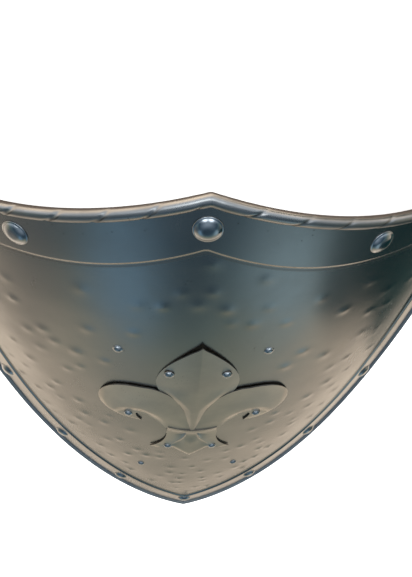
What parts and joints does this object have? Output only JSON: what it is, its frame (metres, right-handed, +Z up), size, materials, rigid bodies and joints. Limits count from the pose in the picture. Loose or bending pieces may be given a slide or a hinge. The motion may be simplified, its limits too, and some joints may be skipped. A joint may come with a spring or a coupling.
{
  "type": "heater shield",
  "caption": "Curved steel heater shield with scalloped rolled top edge, domed border studs, applied fleur-de-lis and leather carrying straps, lying face up.",
  "frame": {"origin": "middle of the footprint at ground level, the shield lying face up on its two side rims", "axes": "+Y towards the top edge, +X across to the right as seen from above with the top edge away, +Z up, out of the face"},
  "size_m": [0.4736, 0.6072, 0.1154],
  "materials": {
    "sheet_steel": "satin hammered steel with plain borders",
    "plate_steel": "satin pressed steel plate",
    "fastener_steel": "bright domed steel heads",
    "leather": "waxed brown strap leather"
  },
  "bodies": {
    "root": {"shell": "sheet_steel", "fleur_de_lis": "plate_steel", "arm_strap": "leather", "hand_strap": "leather", "stud_peak": "fastener_steel", "stud_point": "fastener_steel", "stud_top_right": "fastener_steel", "stud_top_left": "fastener_steel", "stud_corner_right": "fastener_steel", "stud_corner_left": "fastener_steel", "stud_side_a_right": "fastener_steel", "stud_side_a_left": "fastener_steel", "stud_side_b_right": "fastener_steel", "stud_side_b_left": "fastener_steel", "stud_side_c_right": "fastener_steel", "stud_side_c_left": "fastener_steel", "stud_side_d_right": "fastener_steel", "stud_side_d_left": "fastener_steel", "arm_strap_rivet_right": "fastener_steel", "arm_strap_rivet_left": "fastener_steel", "hand_strap_rivet_right": "fastener_steel", "hand_strap_rivet_left": "fastener_steel", "fleur_petal_rivet_right": "fastener_steel", "fleur_petal_rivet_left": "fastener_steel", "fleur_hook_rivet_right": "fastener_steel", "fleur_hook_rivet_left": "fastener_steel", "fleur_foot_rivet_right": "fastener_steel", "fleur_foot_rivet_left": "fastener_steel"}
  },
  "joints": []
}
